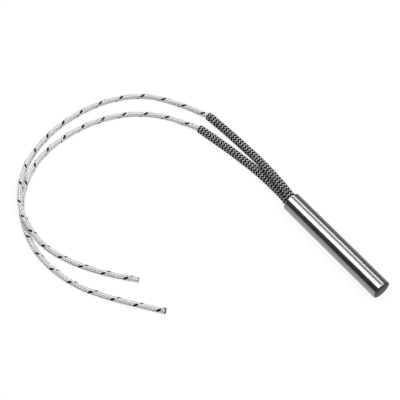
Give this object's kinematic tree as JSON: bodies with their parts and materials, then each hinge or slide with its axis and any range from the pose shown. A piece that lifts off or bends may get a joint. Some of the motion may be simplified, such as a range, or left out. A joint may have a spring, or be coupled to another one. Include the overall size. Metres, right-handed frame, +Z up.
{
  "type": "cartridge heater",
  "caption": "Cartridge heater: slim round steel sheath with a flat welded end, and braided leads in short woven sleeves that leave its open end and lie in a loose loop.",
  "frame": {"origin": "on the sheath's axis at its mouth, where the leads come out", "axes": "+X along the sheath towards its closed end, +Z up from the surface it lies on, which is 5 mm below the origin, +Y to the left when looking along +X"},
  "size_m": [0.1796, 0.1218, 0.01],
  "materials": {
    "sheath_steel": "drawn stainless steel tube, smooth, with fine lengthwise draw lines",
    "end_steel": "turned and welded steel disc, dull and a little heat-darkened",
    "ceramic": "pressed and fired magnesia ceramic, matt",
    "powder": "packed magnesia powder, matt",
    "resistance_wire": "drawn nickel chrome resistance wire, dull",
    "pin_metal": "drawn nickel pin",
    "crimp_metal": "nickel-plated crimp tube",
    "conductor": "stranded nickel-plated conductor",
    "seal_cement": "cast heat-proof cement, matt and finely grained",
    "sleeve_weave": "woven glass-fibre sleeve of black and light grey yarns",
    "lead_braid": "white glass-fibre braid with one black tracer yarn, lightly varnished"
  },
  "bodies": {
    "root": {"sheath": "sheath_steel", "end_disc": "end_steel", "base_insulator": "ceramic", "core_1": "ceramic", "core_2": "ceramic", "core_3": "ceramic", "core_4": "ceramic", "heating_coil": "resistance_wire", "short_pin": "pin_metal", "long_pin": "pin_metal", "powder_fill": "powder", "wafer": "ceramic", "crimp_1": "crimp_metal", "crimp_2": "crimp_metal", "lead_conductor_1": "conductor", "lead_conductor_2": "conductor", "seal_plug": "seal_cement", "lead_sleeve_1": "sleeve_weave", "lead_sleeve_2": "sleeve_weave", "lead_1": "lead_braid", "lead_2": "lead_braid"}
  },
  "joints": []
}
